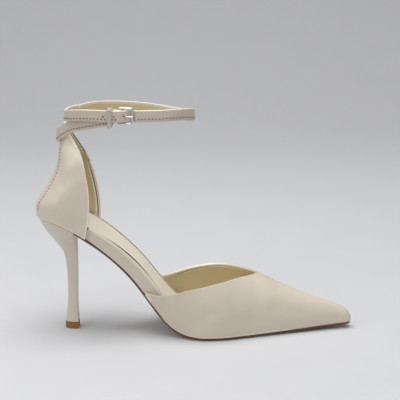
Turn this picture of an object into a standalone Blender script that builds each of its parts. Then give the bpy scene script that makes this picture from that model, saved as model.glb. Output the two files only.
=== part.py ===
"""Ankle strap pump, right shoe, standing empty on a level floor.

Metres, +Z up, toe towards +X, outer side towards -Y. The origin is at the middle of the bounding box, on the floor.
Heights run from the feather line, where the upper meets the sole. Stations are shares of the shoe's length,
counted from the back of the heel.
"""

from collections import namedtuple
from math import cos, pi, radians, sin

import bmesh
import bpy
import numpy as np
from mathutils import Matrix, Vector

# Last and sole
SHOE_LENGTH = 0.2418
HEEL_HEIGHT = 0.0900
BALL_WIDTH = 0.0700
TOE_SPRING = 0.0030
HEEL_ROUND = 0.0240
TOE_ROUND = 0.0045
SOLE_THICKNESS = 0.0022
WAIST_THICKNESS = 0.0014
SOLE_SET_IN = 0.0006
SOLE_BEVEL = 0.0008
BREAST_STATION = 0.127
TREAD_START = 0.53
SPRING_START = 0.62

# Upper
THROAT_RISE = 0.0412
THROAT_STATION = 0.7014
VAMP_WALL = 0.0016
COUNTER_WALL = 0.0018
COUNTER_RISE = 0.0640

# Footbed
FOOTBED_EDGE = 0.0105
FOOTBED_EASE = 0.0004
SOCK_THICKNESS = 0.0012
WRAP_THICKNESS = 0.0012
WRAP_START = 0.155
WRAP_END = 0.415

# Heel
HEEL_STEM_WIDTH = 0.0086
HEEL_SEAT_SET_IN = 0.0012
TOP_PIECE_HEIGHT = 0.0050
TOP_PIECE_LIP = 0.0001

# Strap and buckle
STRAP_WIDTH = 0.0086
STRAP_THICKNESS = 0.0020
RING_RISE = 0.0785
RING_REACH = 0.0944
RING_HALF_WIDTH = 0.0225
RING_SET_IN = 0.0044
CROSSING_DROP = 0.0039
FRAME_REACH = 0.01165
FRAME_TURN = radians(23.3)
BAR_WIDTH = 0.0021
BAR_THICKNESS = 0.0018
FRAME_CORNER = 0.0013
BUCKLE_REACH = 0.421
BUCKLE_SET_IN = 0.0035
FOLD_LENGTH = 0.0090
PRONG_WIRE = 0.0013
HOLE_SPACING = 0.0080
HOLE_WIDTH = 0.0014
KEEPER_WIDTH = 0.0034
KEEPER_WALL = 0.0007
KEEPER_OFFSET = 0.0060

GAP = 0.0003
SECTION_SIDE = 2.3
HEEL_PLAN = 2.2

SoleRow = namedtuple("SoleRow", "station rise lateral medial")
SOLE = (
    SoleRow(0.000, 1.0000, 0.349, 0.349),
    SoleRow(0.058, 0.9910, 0.351, 0.351),
    SoleRow(0.088, 0.9560, 0.351, 0.350),
    SoleRow(0.131, 0.8980, 0.350, 0.347),
    SoleRow(0.178, 0.8100, 0.345, 0.338),
    SoleRow(0.239, 0.6730, 0.326, 0.312),
    SoleRow(0.300, 0.5030, 0.312, 0.292),
    SoleRow(0.346, 0.3370, 0.314, 0.292),
    SoleRow(0.393, 0.1640, 0.343, 0.322),
    SoleRow(0.424, 0.0763, 0.379, 0.358),
    SoleRow(0.455, 0.0296, 0.419, 0.402),
    SoleRow(0.486, 0.0080, 0.458, 0.446),
    SoleRow(TREAD_START, 0.0000, 0.492, 0.490),
    SoleRow(0.580, 0.0000, 0.480, 0.507),
    SoleRow(0.641, 0.0000, 0.422, 0.465),
    SoleRow(0.707, 0.0000, 0.347, 0.386),
    SoleRow(0.770, 0.0000, 0.277, 0.303),
    SoleRow(0.835, 0.0000, 0.209, 0.223),
    SoleRow(0.900, 0.0000, 0.141, 0.147),
    SoleRow(0.950, 0.0000, 0.093, 0.094),
    SoleRow(1.000, 0.0000, 0.060, 0.060),
)

# Crest heights are shares of THROAT_RISE, and run on behind the throat as the instep of the last.
# The wrap is the share of the quarter turn that the side covers before it reaches its top edge.
InstepRow = namedtuple("InstepRow", "station crest bulge crown wrap")
INSTEP = (
    InstepRow(0.347, 1.600, 0.075, 1.80, 0.015),
    InstepRow(0.364, 1.680, 0.085, 1.80, 0.046),
    InstepRow(0.393, 1.780, 0.085, 1.80, 0.117),
    InstepRow(0.426, 1.850, 0.075, 1.80, 0.191),
    InstepRow(0.455, 1.870, 0.060, 1.80, 0.239),
    InstepRow(0.486, 1.800, 0.045, 1.80, 0.289),
    InstepRow(0.517, 1.690, 0.036, 1.80, 0.337),
    InstepRow(0.579, 1.450, 0.036, 1.80, 0.450),
    InstepRow(0.608, 1.325, 0.034, 1.80, 0.526),
    InstepRow(0.641, 1.190, 0.030, 1.80, 0.643),
    InstepRow(0.674, 1.080, 0.026, 1.80, 0.765),
    InstepRow(0.695, 1.018, 0.022, 1.80, 0.930),
    InstepRow(THROAT_STATION, 1.000, 0.022, 1.80, 1.000),
    InstepRow(0.772, 0.800, 0.014, 1.75, 1.000),
    InstepRow(0.836, 0.629, 0.009, 1.70, 1.000),
    InstepRow(0.900, 0.468, 0.005, 1.70, 1.000),
    InstepRow(0.965, 0.318, 0.002, 1.75, 1.000),
    InstepRow(0.981, 0.255, 0.001, 1.80, 1.000),
    InstepRow(0.994, 0.169, 0.000, 1.80, 1.000),
    InstepRow(1.000, 0.085, 0.000, 1.80, 1.000),
)

# Back and fronts are shares of the length, half a share of the ball width, round the rounded share of the depth.
CounterRow = namedtuple("CounterRow", "level back lateral_front medial_front half round")
COUNTER = (
    CounterRow(0.00, 0.0037, 0.1640, 0.1930, 0.349, 0.62),
    CounterRow(0.10, 0.0004, 0.1710, 0.1960, 0.357, 0.60),
    CounterRow(0.20, 0.0112, 0.1760, 0.1970, 0.361, 0.63),
    CounterRow(0.30, 0.0294, 0.1795, 0.1955, 0.361, 0.68),
    CounterRow(0.40, 0.0463, 0.1797, 0.1910, 0.357, 0.74),
    CounterRow(0.50, 0.0608, 0.1770, 0.1845, 0.350, 0.82),
    CounterRow(0.60, 0.0724, 0.1716, 0.1760, 0.338, 0.90),
    CounterRow(0.70, 0.0784, 0.1666, 0.1660, 0.312, 0.97),
    CounterRow(0.80, 0.0811, 0.1560, 0.1530, 0.240, 1.00),
    CounterRow(0.90, 0.0844, 0.1370, 0.1350, 0.134, 1.00),
    CounterRow(1.00, 0.0877, 0.1160, 0.1160, 0.080, 1.00),
)
STRAP_LEVEL = 0.88

# Edge is the footbed's height at its rim, as a share of FOOTBED_EDGE.
FootbedRow = namedtuple("FootbedRow", "station edge")
FOOTBED = (
    FootbedRow(0.00, 0.50),
    FootbedRow(0.12, 0.72),
    FootbedRow(0.18, 0.90),
    FootbedRow(0.30, 1.02),
    FootbedRow(0.40, 1.06),
    FootbedRow(0.45, 1.02),
    FootbedRow(0.50, 0.74),
    FootbedRow(0.56, 0.44),
    FootbedRow(0.64, 0.36),
    FootbedRow(1.00, 0.34),
)

# Front and rear heights are shares of the heel height, back and breast of the length,
# flare of the seat's half width and stem of the stem's half width.
HeelRow = namedtuple("HeelRow", "rear front back breast flare stem")
HEEL = (
    HeelRow(0.9560, 0.8830, 0.0162, 0.1255, 0.965, 0.0),
    HeelRow(0.9050, 0.8530, 0.0250, 0.1255, 0.870, 0.0),
    HeelRow(0.8500, 0.8180, 0.0393, 0.1257, 0.700, 0.0),
    HeelRow(0.7920, 0.7790, 0.0562, 0.1262, 0.490, 0.10),
    HeelRow(0.7190, 0.7220, 0.0749, 0.1284, 0.190, 0.80),
    HeelRow(0.6780, 0.6780, 0.0852, 0.1293, 0.070, 1.08),
    HeelRow(0.6300, 0.6300, 0.0905, 0.1298, 0.0, 1.22),
    HeelRow(0.5600, 0.5600, 0.0942, 0.1298, 0.0, 1.12),
    HeelRow(0.4400, 0.4400, 0.0968, 0.1293, 0.0, 1.02),
    HeelRow(0.3200, 0.3200, 0.0970, 0.1283, 0.0, 1.00),
    HeelRow(0.2000, 0.2000, 0.0948, 0.1274, 0.0, 1.03),
    HeelRow(0.1200, 0.1200, 0.0912, 0.1280, 0.0, 1.12),
)
TIP_BACK = 0.0866
TIP_BREAST = 0.1298
TIP_STEM = 1.25

# Reach is a share of RING_REACH, side of RING_HALF_WIDTH, lift of the climb from the counter to the ring.
StrapRow = namedtuple("StrapRow", "reach side lift")
LOWER_PIECE = (
    StrapRow(0.344, -0.940, 0.850),
    StrapRow(0.265, -0.920, 0.770),
    StrapRow(0.185, -0.865, 0.690),
    StrapRow(0.108, -0.765, 0.605),
    StrapRow(0.045, -0.610, 0.500),
)
CROSSING = (-0.55, -0.30, 0.0, 0.30, 0.55)
CROSSING_LIFT = (0.290, 0.110, 0.000, 0.050, 0.190)
FAR_SIDE = (
    StrapRow(0.010, 0.640, 0.500),
    StrapRow(0.070, 0.830, 0.830),
    StrapRow(0.170, 0.955, 0.985),
    StrapRow(0.335, 1.005, 1.025),
    StrapRow(0.490, 1.013, 1.000),
    StrapRow(0.625, 0.985, 0.945),
    StrapRow(0.735, 0.915, 0.875),
    StrapRow(0.850, 0.740, 0.805),
    StrapRow(0.938, 0.480, 0.780),
    StrapRow(0.990, 0.200, 0.818),
    StrapRow(1.000, -0.010, 0.870),
    StrapRow(0.988, -0.215, 0.926),
    StrapRow(0.935, -0.500, 0.987),
    StrapRow(0.845, -0.755, 1.008),
    StrapRow(0.735, -0.895, 1.000),
    StrapRow(0.640, -0.945, 1.000),
)
TAIL = (
    StrapRow(0.345, -1.068, 1.010),
    StrapRow(0.262, -1.058, 1.035),
    StrapRow(0.180, -1.010, 1.040),
    StrapRow(0.115, -0.930, 1.030),
    StrapRow(0.058, -0.795, 0.995),
    StrapRow(0.018, -0.570, 0.945),
    StrapRow(0.001, -0.280, 0.905),
    StrapRow(0.000, 0.000, 0.890),
    StrapRow(0.012, 0.270, 0.895),
    StrapRow(0.042, 0.490, 0.915),
    StrapRow(0.078, 0.620, 0.935),
)

Finish = namedtuple("Finish", "red green blue roughness metallic")
LEATHER = Finish(0.585, 0.520, 0.430, 0.42, 0.0)
STRAP_LEATHER = Finish(0.550, 0.485, 0.410, 0.44, 0.0)
SOCK_LEATHER = Finish(0.625, 0.560, 0.440, 0.50, 0.0)
BOARD = Finish(0.420, 0.330, 0.220, 0.80, 0.0)
SOLE_EDGE = Finish(0.110, 0.060, 0.030, 0.55, 0.0)
WEARING_PIECE = Finish(0.220, 0.090, 0.025, 0.50, 0.0)
NICKEL = Finish(0.720, 0.700, 0.680, 0.18, 1.0)


class Curve:
    """A smooth curve through one column of a table, without overshoot between its rows."""

    def __init__(self, rows, column, along="station"):
        self.at = np.array([getattr(row, along) for row in rows])
        self.value = np.array([getattr(row, column) for row in rows])
        step = np.diff(self.at)
        slope = np.diff(self.value) / step
        self.slope = np.zeros(len(self.at))
        for i in range(1, len(self.at) - 1):
            if slope[i - 1] * slope[i] > 0:
                before = 2 * step[i] + step[i - 1]
                after = step[i] + 2 * step[i - 1]
                self.slope[i] = (before + after) / (before / slope[i - 1] + after / slope[i])
        self.slope[0] = slope[0]
        self.slope[-1] = slope[-1]

    def __call__(self, at):
        at = min(max(at, self.at[0]), self.at[-1])
        i = int(min(np.searchsorted(self.at, at, side="right") - 1, len(self.at) - 2))
        width = self.at[i + 1] - self.at[i]
        t = (at - self.at[i]) / width
        return float(
            (1 + 2 * t) * (1 - t) ** 2 * self.value[i]
            + t * (1 - t) ** 2 * width * self.slope[i]
            + t * t * (3 - 2 * t) * self.value[i + 1]
            + t * t * (t - 1) * width * self.slope[i + 1]
        )


RISE = Curve(SOLE, "rise")
LATERAL = Curve(SOLE, "lateral")
MEDIAL = Curve(SOLE, "medial")
CREST = Curve(INSTEP, "crest")
BULGE = Curve(INSTEP, "bulge")
CROWN = Curve(INSTEP, "crown")
WRAP = Curve(INSTEP, "wrap")
EDGE = Curve(FOOTBED, "edge")
COUNTER_BACK = Curve(COUNTER, "back", "level")
COUNTER_FRONT = {-1: Curve(COUNTER, "lateral_front", "level"), 1: Curve(COUNTER, "medial_front", "level")}
COUNTER_HALF = Curve(COUNTER, "half", "level")
COUNTER_ROUND = Curve(COUNTER, "round", "level")
SEAT_BACK = COUNTER_BACK(0) * SHOE_LENGTH


def smooth_step(value, start, end):
    """0 before start, 1 after end, with an eased climb between them."""
    t = min(max((value - start) / (end - start), 0.0), 1.0)
    return t * t * (3 - 2 * t)


def feather(x):
    """Height of the feather line over the floor."""
    station = x / SHOE_LENGTH
    spring = max(station - SPRING_START, 0.0) / (1 - SPRING_START)
    return SOLE_THICKNESS + RISE(station) * (HEEL_HEIGHT - SOLE_THICKNESS) + TOE_SPRING * spring**1.8


def feather_normal(x):
    """Unit normal of the feather line in the x and z directions."""
    step = SHOE_LENGTH * 1e-3
    low = max(x - step, 0.0)
    high = min(x + step, SHOE_LENGTH)
    slope = (feather(high) - feather(low)) / (high - low)
    size = (1 + slope * slope) ** 0.5
    return -slope / size, 1 / size


def rounded(share, power):
    """Half width of a rounded end, from 0 at its tip to 1 where it runs into the sides."""
    return (1 - (1 - min(max(share, 0.0), 1.0)) ** power) ** (1 / power)


def plan(x, side, inset=0.0):
    """Half width of the last's outline, moved inwards by the inset, round at heel and toe."""
    share = LATERAL(x / SHOE_LENGTH) if side < 0 else MEDIAL(x / SHOE_LENGTH)
    heel = rounded((x - SEAT_BACK - inset) / (HEEL_ROUND - inset), HEEL_PLAN)
    toe_round = max(TOE_ROUND - inset, 0.4 * TOE_ROUND)
    toe = rounded((SHOE_LENGTH - inset - x) / toe_round, 2.0)
    return (share * BALL_WIDTH - inset) * heel * toe


def on_last(x, y, height):
    """A point at a height over the feather line, measured square to it."""
    across, up = feather_normal(x)
    return Vector((x + height * across, y, feather(x) + height * up))


def section(x, side, turn, inset=0.0):
    """A point of the last's skin, moved inwards by the inset; turn is 0 at the feather line and 1 on the crest."""
    station = x / SHOE_LENGTH
    x -= inset * smooth_step(x, SHOE_LENGTH - 6 * TOE_ROUND, SHOE_LENGTH)
    angle = min(turn, 1.0) * pi / 2
    climb = sin(angle) ** (2 / SECTION_SIDE)
    fall = max(cos(angle), 0.0) ** (2 / CROWN(station)) if turn < 1 else 0.0
    base = feather(x) + GAP / feather_normal(x)[1]
    rise = CREST(station) * THROAT_RISE - GAP - inset
    width = plan(x, side, inset)
    ends = min(width / (0.1 * BALL_WIDTH), 1.0)
    y = width * fall + BULGE(station) * BALL_WIDTH * sin(pi * climb) * ends
    return Vector((x, side * (y if turn < 1 else 0.0), base + rise * climb))


def spread(start, end, count, ease_start=False, ease_end=False):
    """Values from start to end, closer together at an eased end."""
    values = np.linspace(0, 1, count + 1)
    if ease_start and ease_end:
        values = (1 - np.cos(values * pi)) / 2
    elif ease_end:
        values = np.sin(values * pi / 2)
    elif ease_start:
        values = 1 - np.cos(values * pi / 2)
    return [float(v) for v in start + (end - start) * values]


def material(name, finish):
    found = bpy.data.materials.new(name)
    found.use_nodes = True
    shader = found.node_tree.nodes["Principled BSDF"]
    shader.inputs["Base Color"].default_value = (finish.red, finish.green, finish.blue, 1)
    shader.inputs["Roughness"].default_value = finish.roughness
    shader.inputs["Metallic"].default_value = finish.metallic
    found.diffuse_color = (finish.red, finish.green, finish.blue, 1)
    return found


def add_object(name, points, faces, finish, crease=40):
    """One named object from points and faces, with its own material."""
    mesh = bpy.data.meshes.new(name)
    mesh.from_pydata([tuple(p) for p in points], [], faces)
    mesh.validate()
    made = bpy.data.objects.new(name, mesh)
    bpy.context.scene.collection.objects.link(made)
    mesh.materials.append(material(name, finish))
    mesh.shade_smooth()
    mesh.set_sharp_from_angle(angle=radians(crease))
    return made


def loft(name, rings, finish):
    """A closed solid through rings of equally many points, with flat ends."""
    count = len(rings[0])
    points = [p for ring in rings for p in ring]
    faces = []
    for k in range(len(rings) - 1):
        for i in range(count):
            j = (i + 1) % count
            faces.append((k * count + i, k * count + j, (k + 1) * count + j, (k + 1) * count + i))
    faces.append(tuple(reversed(range(count))))
    faces.append(tuple(range((len(rings) - 1) * count, len(rings) * count)))
    return turned_out(add_object(name, points, faces, finish))


def turned_out(made):
    """Recalculates the faces of a closed mesh so that they point outwards."""
    mesh = bmesh.new()
    mesh.from_mesh(made.data)
    bmesh.ops.recalc_face_normals(mesh, faces=mesh.faces)
    mesh.to_mesh(made.data)
    mesh.free()
    return made


def walled(name, points, faces, wall, finish):
    """A sheet whose faces point outwards, given a wall on its inner side."""
    made = add_object(name, points, faces, finish)
    solid = made.modifiers.new("wall", "SOLIDIFY")
    solid.thickness = wall
    solid.offset = -1
    solid.use_even_offset = True
    solid.use_rim = True
    return made


def hollow(name, outer, inner, faces, finish):
    """A solid between an outer sheet, its faces pointing out, and an inner one with matching points."""
    count = len(outer)
    runs = {(face[i - 1], face[i]) for face in faces for i in range(len(face))}
    rim = [(b, a, a + count, b + count) for a, b in runs if (b, a) not in runs]
    lining = [tuple(i + count for i in reversed(face)) for face in faces]
    return add_object(name, outer + inner, faces + lining + rim, finish)


def slab(name, stations, half, heights, finish, across=4, bevel=0.0):
    """A layer of the sole: half gives its half width, heights its lower and upper face square to the feather."""
    rings = []
    for x in stations:
        low, high = heights(x)
        near = -half(x, -1)
        far = half(x, 1)
        shares = [k / across for k in range(across + 1)]
        trim = min(bevel, 0.4 * (far - near))
        upper = [on_last(x, near + (far - near) * s, high) for s in shares]
        lower = [on_last(x, near + trim + (far - near - 2 * trim) * s, low) for s in reversed(shares)]
        rings.append(upper + lower)
    return loft(name, rings, finish)


def sole_half(x, side):
    """The sole follows the upper, and the footbed's rim where the upper is cut away."""
    open_side = smooth_step(x / SHOE_LENGTH, 0.165, 0.205) - smooth_step(x / SHOE_LENGTH, 0.33, 0.38)
    return plan(x, side, SOLE_SET_IN) - open_side * (VAMP_WALL + GAP - SOLE_SET_IN / 2)


def sole_thickness(x):
    station = x / SHOE_LENGTH
    return WAIST_THICKNESS + (SOLE_THICKNESS - WAIST_THICKNESS) * smooth_step(station, 0.38, TREAD_START)


def footbed_half(x, side):
    """The footbed fills the upper, and leaves room for the wraps along the waist."""
    station = x / SHOE_LENGTH
    wrapped = smooth_step(station, WRAP_START - 0.03, WRAP_START - 0.005)
    wrapped -= smooth_step(station, WRAP_END + 0.005, WRAP_END + 0.03)
    wall = COUNTER_WALL if station < 0.5 * (WRAP_START + WRAP_END) else VAMP_WALL
    inset = wall + GAP + FOOTBED_EASE
    return plan(x, side, inset) - wrapped * (WRAP_THICKNESS + GAP)


def footbed_edge(x):
    return EDGE(x / SHOE_LENGTH) * FOOTBED_EDGE


def wrap_stations():
    return spread(WRAP_START * SHOE_LENGTH, WRAP_END * SHOE_LENGTH, 18)


def footbed_stations():
    """Stations of the footbed, the same as the wraps' along the waist."""
    inset = COUNTER_WALL + GAP + FOOTBED_EASE
    waist = wrap_stations()
    heel = spread(SEAT_BACK + inset + 0.0001, waist[0], 9, ease_start=True)
    toe = spread(waist[-1], SHOE_LENGTH - 1.9 * inset, 15, ease_end=True)
    return heel[:-1] + waist + toe[1:]


def build_outsole():
    breast = BREAST_STATION * SHOE_LENGTH
    start = breast + WAIST_THICKNESS * feather_normal(breast)[0] + GAP
    stations = spread(start, 0.6 * SHOE_LENGTH, 22)
    stations += spread(0.6 * SHOE_LENGTH, SHOE_LENGTH - SOLE_SET_IN - 0.00005, 18, ease_end=True)[1:]
    slab("outsole", stations, sole_half, lambda x: (-sole_thickness(x), 0.0), SOLE_EDGE, bevel=SOLE_BEVEL)


def build_insole_board():
    def heights(x):
        return GAP, footbed_edge(x) - SOCK_THICKNESS - GAP

    slab("insole_board", footbed_stations(), footbed_half, heights, BOARD, across=2)


def build_sock():
    def heights(x):
        return footbed_edge(x) - SOCK_THICKNESS, footbed_edge(x)

    slab("sock", footbed_stations(), footbed_half, heights, SOCK_LEATHER, across=2)


def build_waist_wrap(name, side):
    """The covered rim of the footbed, which the counter and the vamp overlap at its ends."""
    rings = []
    for x in wrap_stations():
        inset = max(COUNTER_WALL, VAMP_WALL) + GAP + FOOTBED_EASE
        outer = side * (plan(x, side, inset) + GAP)
        inner = outer - side * WRAP_THICKNESS
        top = footbed_edge(x) + GAP
        soft = 0.3 * WRAP_THICKNESS
        rings.append([
            on_last(x, outer, GAP),
            on_last(x, outer, top - soft),
            on_last(x, outer - side * soft, top),
            on_last(x, inner, top),
            on_last(x, inner, GAP),
        ])
    loft(name, rings, LEATHER)


def build_vamp(per_side=10):
    """Front of the upper: two sides from the feather line to the top edge, joined on the crest before the throat."""
    throat = THROAT_STATION * SHOE_LENGTH
    stations = spread(INSTEP[0].station * SHOE_LENGTH, throat, 20)
    stations += spread(throat, SHOE_LENGTH, 18, ease_end=True)[1:]
    points = []
    inner = []
    lookup = {}
    for k, x in enumerate(stations):
        joined = x >= throat - 1e-9
        tip = k == len(stations) - 1
        for side in (-1, 1):
            for j in range(per_side + 1):
                turn = j / per_side * (1.0 if joined else WRAP(x / SHOE_LENGTH))
                shared = side > 0 and (tip or (joined and j == per_side))
                if shared:
                    lookup[k, side, j] = lookup[k, -1, j]
                    continue
                lookup[k, side, j] = len(points)
                points.append(section(x, side, turn))
                inner.append(section(x, side, turn, VAMP_WALL))
    faces = []
    for k in range(len(stations) - 1):
        for side in (-1, 1):
            for j in range(per_side):
                corners = [lookup[k, side, j], lookup[k + 1, side, j], lookup[k + 1, side, j + 1], lookup[k, side, j + 1]]
                faces.append(tuple(corners if side < 0 else reversed(corners)))
    hollow("vamp", points, inner, faces, LEATHER)


def counter_width(y_share, level, spare=0.0):
    """Station of the counter's skin at a side distance, the skin moved outwards by the spare."""
    back = COUNTER_BACK(level) * SHOE_LENGTH - spare
    depth = (COUNTER_FRONT[-1](level) - COUNTER_BACK(level)) * SHOE_LENGTH * COUNTER_ROUND(level) + spare
    half = COUNTER_HALF(level) * BALL_WIDTH + spare
    return back + depth * (1 - (1 - min(abs(y_share) / half, 1.0) ** HEEL_PLAN) ** (1 / HEEL_PLAN))


def counter_point(level, share, side):
    """A point of the counter's skin, share being 0 on the back seam and 1 on the front edge."""
    back = COUNTER_BACK(level) * SHOE_LENGTH
    front = COUNTER_FRONT[side](level) * SHOE_LENGTH
    x = back + (front - back) * share**1.8
    depth = (COUNTER_FRONT[-1](level) * SHOE_LENGTH - back) * COUNTER_ROUND(level)
    upper = COUNTER_HALF(level) * BALL_WIDTH * rounded((x - back) / depth, HEEL_PLAN)
    leave = smooth_step(level, 0.0, 0.3)
    y = plan(x, side) * (1 - leave) + upper * leave
    seat = feather(SEAT_BACK)
    foot_end = COUNTER_FRONT[side](0) * SHOE_LENGTH
    front_foot = feather(foot_end)
    rear = seat + COUNTER_RISE * level
    fore = front_foot + (seat + COUNTER_RISE - front_foot) * level
    straight = (x - back) / (front - back)
    along = SEAT_BACK + (foot_end - SEAT_BACK) * straight
    bent = (feather(along) - seat) / (front_foot - seat)
    drop = bent * (1 - level) + straight * level
    foot = GAP / feather_normal(x)[1] * (1 - level)
    return Vector((x, side * y if share > 0 else 0.0, rear + (fore - rear) * drop + foot))


def build_counter(levels=15, per_side=11):
    """Back of the upper, from the feather line to a narrow top under the strap."""
    points = []
    lookup = {}
    order = [(-1, j) for j in range(per_side, 0, -1)] + [(1, j) for j in range(per_side + 1)]
    for k in range(levels + 1):
        for c, (side, j) in enumerate(order):
            lookup[k, c] = len(points)
            points.append(counter_point(k / levels, j / per_side, side))
    faces = []
    for k in range(levels):
        for c in range(len(order) - 1):
            faces.append((lookup[k, c], lookup[k + 1, c], lookup[k + 1, c + 1], lookup[k, c + 1]))
    walled("counter", points, faces, COUNTER_WALL, LEATHER)


def heel_ring(back, breast, half, height, per_side=8):
    """A D-shaped ring: round at the back, flat at the breast."""
    near = []
    far = []
    for j in range(per_side + 1):
        x = back + (breast - back) * (j / per_side) ** 1.8
        y = half(x) if j else 0.0
        near.append(Vector((x, -y, height(x))))
        far.append(Vector((x, y, height(x))))
    return list(reversed(near)) + far[1:]


def build_heel():
    rings = []
    breast = (BREAST_STATION - 0.002) * SHOE_LENGTH
    seat_back = SEAT_BACK + HEEL_SEAT_SET_IN

    def seat_half(x):
        return (plan(x, -1, HEEL_SEAT_SET_IN) + plan(x, 1, HEEL_SEAT_SET_IN)) / 2

    rings.append(heel_ring(seat_back, breast, seat_half, lambda x: feather(x) - GAP / feather_normal(x)[1]))
    full = seat_half(breast)
    for row in HEEL:
        back = row.back * SHOE_LENGTH
        front = row.breast * SHOE_LENGTH
        half = row.flare * full + row.stem * HEEL_STEM_WIDTH / 2
        low = row.front * HEEL_HEIGHT
        climb = (row.rear - row.front) * HEEL_HEIGHT

        def height(x, back=back, front=front, low=low, climb=climb):
            return low + climb * (front - x) / (front - back)

        def width(x, back=back, front=front, half=half):
            return half * rounded((x - back) / (0.9 * (front - back)), HEEL_PLAN)

        rings.append(heel_ring(back, front, width, height))
    rings.append(tip_ring(TOP_PIECE_HEIGHT + GAP, 0.0))
    count = len(rings[0])
    points = [p for ring in rings for p in ring]
    faces = []
    for k in range(len(rings) - 1):
        for i in range(count):
            j = (i + 1) % count
            faces.append((k * count + i, k * count + j, (k + 1) * count + j, (k + 1) * count + i))
    for base in (0, (len(rings) - 1) * count):
        for i in range(count // 2 - 1):
            faces.append((base + i, base + i + 1, base + count - 2 - i, base + count - 1 - i))
        middle = count // 2
        faces.append((base + middle - 1, base + middle, base + middle + 1))
    turned_out(add_object("heel", points, faces, LEATHER))


def tip_ring(z, grow):
    """The stem's outline at the wearing piece, grown by a small lip."""
    back = TIP_BACK * SHOE_LENGTH - grow
    front = TIP_BREAST * SHOE_LENGTH + grow
    half = TIP_STEM * HEEL_STEM_WIDTH / 2 + grow
    return heel_ring(back, front, lambda x: half * rounded((x - back) / (0.9 * (front - back)), HEEL_PLAN), lambda x: z)


def build_top_piece():
    rings = [tip_ring(z, TOP_PIECE_LIP) for z in (0.0, TOP_PIECE_HEIGHT)]
    loft("top_piece", rings, WEARING_PIECE)


def smooth_path(points, spacing):
    """Points along a smooth curve through the given ones, at most the spacing apart."""
    found = []
    for i in range(len(points) - 1):
        a = points[max(i - 1, 0)]
        b = points[i]
        c = points[i + 1]
        d = points[min(i + 2, len(points) - 1)]
        before = max((b - a).length, 1e-9) ** 0.5
        here = max((c - b).length, 1e-9) ** 0.5
        after = max((d - c).length, 1e-9) ** 0.5
        start = (c - b) / here if i == 0 else (b - a) / before - (c - a) / (before + here) + (c - b) / here
        end = (c - b) / here if i == len(points) - 2 else (c - b) / here - (d - b) / (here + after) + (d - c) / after
        start = start * here
        end = end * here
        steps = max(int(np.ceil((c - b).length / spacing)), 1)
        for k in range(steps):
            t = k / steps
            found.append(
                b * (2 * t**3 - 3 * t**2 + 1)
                + start * (t**3 - 2 * t**2 + t)
                + c * (-2 * t**3 + 3 * t**2)
                + end * (t**3 - t**2)
            )
    found.append(points[-1])
    return found


def sweep(name, path, outline, finish, up=Vector((0, 0, 1)), closed=False):
    """A solid whose outline, given as (across, upwards) pairs, follows a path."""
    rings = []
    count = len(path)
    for i, point in enumerate(path):
        if closed:
            along = (path[(i + 1) % count] - path[i - 1]).normalized()
        else:
            along = (path[min(i + 1, count - 1)] - path[max(i - 1, 0)]).normalized()
        rise = (up - along * up.dot(along)).normalized()
        across = along.cross(rise)
        rings.append([point + across * a + rise * u for a, u in outline])
    if not closed:
        return loft(name, rings, finish)
    size = len(outline)
    points = [p for ring in rings for p in ring]
    faces = []
    for k in range(count):
        n = (k + 1) % count
        for i in range(size):
            j = (i + 1) % size
            faces.append((k * size + i, k * size + j, n * size + j, n * size + i))
    return turned_out(add_object(name, points, faces, finish))


def soft_rectangle(width, height, corner):
    """Outline of a rectangle with cut corners, as (across, upwards) pairs."""
    a = width / 2
    u = height / 2
    return [
        (a, -u + corner), (a, u - corner), (a - corner, u), (-a + corner, u),
        (-a, u - corner), (-a, -u + corner), (-a + corner, -u), (a - corner, -u),
    ]


def crossing_height():
    """Height of the strap's middle where it crosses the back of the counter."""
    return feather(SEAT_BACK) + COUNTER_RISE - CROSSING_DROP


def ring_height():
    return feather(SEAT_BACK) + RING_RISE


def ring_point(row):
    climb = ring_height() - crossing_height()
    back = COUNTER_BACK(1) * SHOE_LENGTH + RING_SET_IN
    z = crossing_height() + row.lift * climb
    return Vector((back + row.reach * RING_REACH, row.side * RING_HALF_WIDTH, z))


def hinge():
    """Middle of the buckle's hinge bar."""
    found = ring_point(StrapRow(BUCKLE_REACH, -1.0, 1.0))
    return found + Vector((0, BUCKLE_SET_IN, 0))


def frame_point(along, outwards):
    """A point given along the buckle from its hinge bar, and outwards from its plane."""
    run = Vector((cos(FRAME_TURN), -sin(FRAME_TURN), 0))
    out = Vector((-sin(FRAME_TURN), -cos(FRAME_TURN), 0))
    return hinge() + run * along + out * outwards


def fold_radius():
    return BAR_WIDTH / 2 + GAP + STRAP_THICKNESS / 2


def crossing_points():
    """The strap's middle line where it lies round the counter's narrow top."""
    points = []
    climb = ring_height() - crossing_height()
    spare = GAP + STRAP_THICKNESS / 2
    half = COUNTER_HALF(STRAP_LEVEL) * BALL_WIDTH + spare
    for turn, lift in zip(CROSSING, CROSSING_LIFT):
        y = half * sin(turn * pi / 2)
        points.append(Vector((counter_width(y, STRAP_LEVEL, spare), y, crossing_height() + lift * climb)))
    return points


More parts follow.
